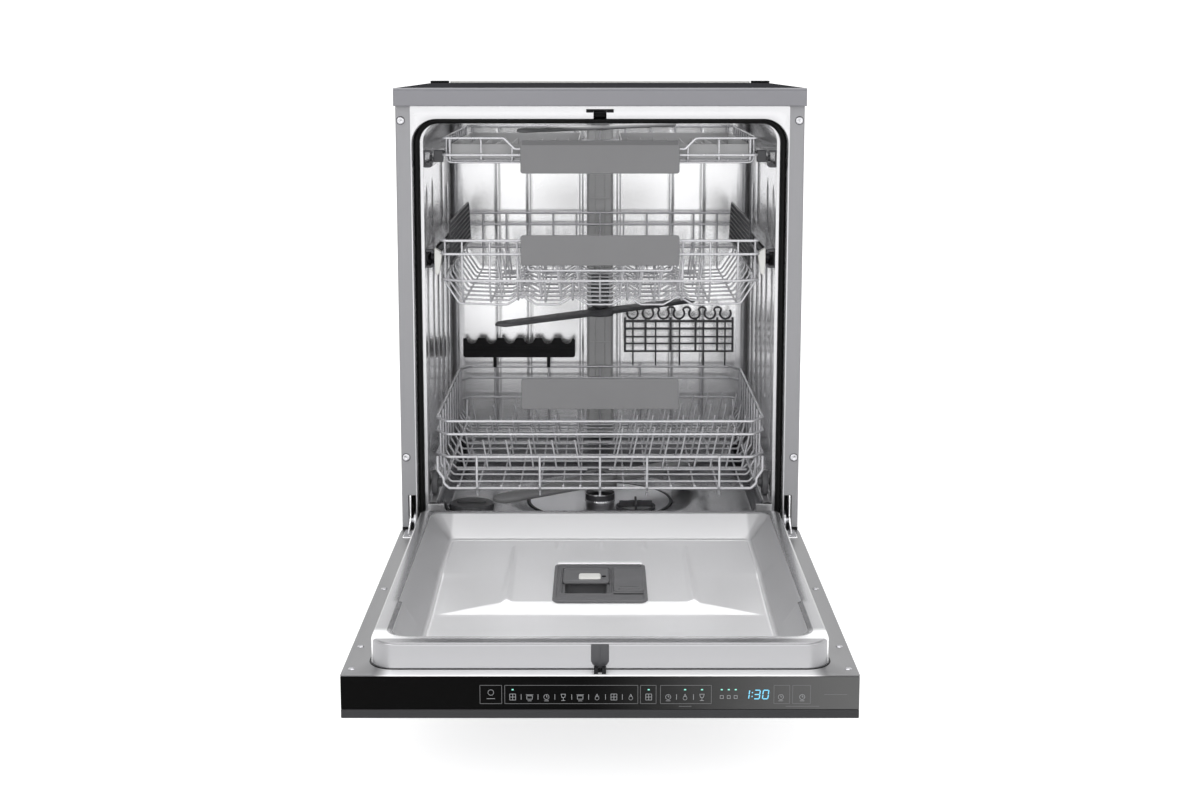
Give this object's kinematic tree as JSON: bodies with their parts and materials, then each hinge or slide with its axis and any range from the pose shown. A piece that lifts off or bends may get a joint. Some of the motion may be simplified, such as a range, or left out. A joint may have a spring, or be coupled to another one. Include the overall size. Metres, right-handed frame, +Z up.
{
  "type": "built-in dishwasher",
  "caption": "Built-in dishwasher with a drop-down door, three sliding racks, three spray arms, a dispenser and adjustable feet.",
  "frame": {"origin": "on the floor under the middle of the whole object with its door open", "axes": "+Z up, +Y from the open door towards the back, +X to the right of a person who faces the front"},
  "size_m": [0.598, 1.152, 0.819],
  "materials": {
    "black_plastic": "satin",
    "dark_plastic": "satin",
    "grey_plastic": "satin",
    "handle_grey": "satin",
    "light_plastic": "satin",
    "post_paint": "satin",
    "back_metal": "satin",
    "cover_board": "laminated, satin",
    "tub_steel": "polished",
    "door_steel": "satin",
    "outer_steel": "satin",
    "seal_rubber": "matte",
    "screw_steel": "polished",
    "bracket_steel": "zinc plated",
    "arm_steel": "polished",
    "spring_steel": "plain",
    "mesh_steel": "etched",
    "pump_plastic": "satin",
    "panel_glass": "gloss",
    "trim_grey": "satin",
    "board_green": "satin",
    "rack_wire": "nylon coated",
    "comb_black": "satin",
    "wheel_grey": "satin"
  },
  "bodies": {
    "cabinet": {"base_tray": "black_plastic", "plinth_panel": "outer_steel", "side_panel_left": "post_paint", "side_panel_right": "post_paint", "back_panel": "back_metal", "top_cover": "cover_board", "corner_caps": "black_plastic", "tub_wrap": "tub_steel", "tub_back": "tub_steel", "tub_floor": "tub_steel", "front_frame": "tub_steel", "tub_gasket": "seal_rubber", "sill_seal": "seal_rubber", "frame_screws": "screw_steel", "latch_striker": "black_plastic", "supply_duct": "grey_plastic", "rack_rails": "bracket_steel", "sump": "pump_plastic", "filter_plate": "mesh_steel", "water_softener": "light_plastic", "wash_pump": "pump_plastic", "drain_pump": "pump_plastic", "inlet_valve": "light_plastic", "cable_gland": "black_plastic", "hinge_brackets": "bracket_steel", "balance_springs": "spring_steel"},
    "foot_left": {"foot_left": "black_plastic"},
    "foot_right": {"foot_right": "black_plastic"},
    "foot_rear": {"foot_rear": "black_plastic"},
    "door": {"door_inner_panel": "door_steel", "door_outer_panel": "outer_steel", "control_panel": "panel_glass", "fascia_trim": "trim_grey", "control_board": "board_green", "latch_housing": "dark_plastic", "dispenser_housing": "dark_plastic", "hinge_arms": "arm_steel", "door_screws": "screw_steel"},
    "detergent_lid": {"detergent_lid": "dark_plastic"},
    "rinse_aid_lid": {"rinse_aid_lid": "dark_plastic"},
    "latch_hook": {"latch_hook": "black_plastic"},
    "third_rack": {"third_rack": "rack_wire", "third_handle": "handle_grey", "cutlery_insert": "grey_plastic"},
    "upper_basket": {"upper_basket": "rack_wire", "upper_handle": "handle_grey", "mid_feed_pipe": "dark_plastic"},
    "cup_shelf_left": {"cup_shelf_left": "dark_plastic"},
    "cup_shelf_right": {"cup_shelf_right": "dark_plastic"},
    "lower_basket": {"lower_basket": "rack_wire", "lower_handle": "handle_grey", "stemware_comb": "comb_black", "rear_shelf": "dark_plastic"},
    "front_wheels": {"front_wheels": "wheel_grey"},
    "rear_wheels": {"rear_wheels": "wheel_grey"},
    "ceiling_arm": {"ceiling_arm": "grey_plastic"},
    "mid_arm": {"mid_arm": "dark_plastic"},
    "lower_arm": {"lower_arm": "grey_plastic"},
    "salt_cap": {"salt_cap": "dark_plastic"},
    "filter_cylinder": {"filter_cylinder": "dark_plastic"}
  },
  "joints": [
    {"name": "door_hinge", "type": "hinge", "parent": "cabinet", "child": "door", "pos_m": [0, 0.0405, 0.1685], "axis": [-1, 0, 0], "range_deg": [0, 90]},
    {"name": "foot_left_screw", "type": "slide", "parent": "cabinet", "child": "foot_left", "axis": [0, 0, -1], "range_m": [0, 0.05]},
    {"name": "foot_right_screw", "type": "slide", "parent": "cabinet", "child": "foot_right", "axis": [0, 0, -1], "range_m": [0, 0.05]},
    {"name": "foot_rear_screw", "type": "slide", "parent": "cabinet", "child": "foot_rear", "axis": [0, 0, -1], "range_m": [0, 0.05]},
    {"name": "detergent_lid_slide", "type": "slide", "parent": "door", "child": "detergent_lid", "axis": [0, -1, 0], "range_m": [0, 0.046]},
    {"name": "rinse_lid_hinge", "type": "hinge", "parent": "door", "child": "rinse_aid_lid", "pos_m": [0.059, -0.2285, 0.161], "axis": [0, 1, 0], "range_deg": [0, 75]},
    {"name": "latch_pivot", "type": "hinge", "parent": "door", "child": "latch_hook", "pos_m": [0, -0.563, 0.152], "axis": [1, 0, 0], "range_deg": [0, 6], "stiffness_Nm_per_rad": 0.05},
    {"name": "third_rack_slide", "type": "slide", "parent": "cabinet", "child": "third_rack", "axis": [0, 1, 0], "range_m": [-0.42, 0]},
    {"name": "upper_basket_slide", "type": "slide", "parent": "cabinet", "child": "upper_basket", "axis": [0, 1, 0], "range_m": [-0.42, 0]},
    {"name": "lower_basket_slide", "type": "slide", "parent": "cabinet", "child": "lower_basket", "axis": [0, 1, 0], "range_m": [-0.48, 0]},
    {"name": "cup_shelf_left_fold", "type": "hinge", "parent": "upper_basket", "child": "cup_shelf_left", "pos_m": [-0.226, 0.306, 0.548], "axis": [0, 1, 0], "range_deg": [0, 85]},
    {"name": "cup_shelf_right_fold", "type": "hinge", "parent": "upper_basket", "child": "cup_shelf_right", "pos_m": [0.226, 0.306, 0.548], "axis": [0, -1, 0], "range_deg": [0, 85]},
    {"name": "front_wheels_spin", "type": "hinge", "parent": "lower_basket", "child": "front_wheels", "pos_m": [0, 0.121, 0.2063], "axis": [1, 0, 0], "continuous": true},
    {"name": "rear_wheels_spin", "type": "hinge", "parent": "lower_basket", "child": "rear_wheels", "pos_m": [0, 0.461, 0.2063], "axis": [1, 0, 0], "continuous": true},
    {"name": "ceiling_arm_spin", "type": "hinge", "parent": "cabinet", "child": "ceiling_arm", "pos_m": [0, 0.281, 0.748], "axis": [0, 0, 1], "continuous": true},
    {"name": "mid_arm_spin", "type": "hinge", "parent": "upper_basket", "child": "mid_arm", "pos_m": [0, 0.281, 0.45], "axis": [0, 0, 1], "continuous": true},
    {"name": "lower_arm_spin", "type": "hinge", "parent": "cabinet", "child": "lower_arm", "pos_m": [0, 0.281, 0.17], "axis": [0, 0, 1], "continuous": true},
    {"name": "salt_cap_screw", "type": "hinge", "parent": "cabinet", "child": "salt_cap", "pos_m": [-0.206, 0.204, 0.15], "axis": [0, 0, 1], "range_deg": [0, 360]},
    {"name": "filter_lift", "type": "slide", "parent": "cabinet", "child": "filter_cylinder", "axis": [0, 0, 1], "range_m": [0, 0.05]}
  ],
  "couplings": [
    {"joint": "front_wheels_spin", "follows": "lower_basket_slide", "rad_per_m": -52.632},
    {"joint": "rear_wheels_spin", "follows": "lower_basket_slide", "rad_per_m": -52.632}
  ]
}
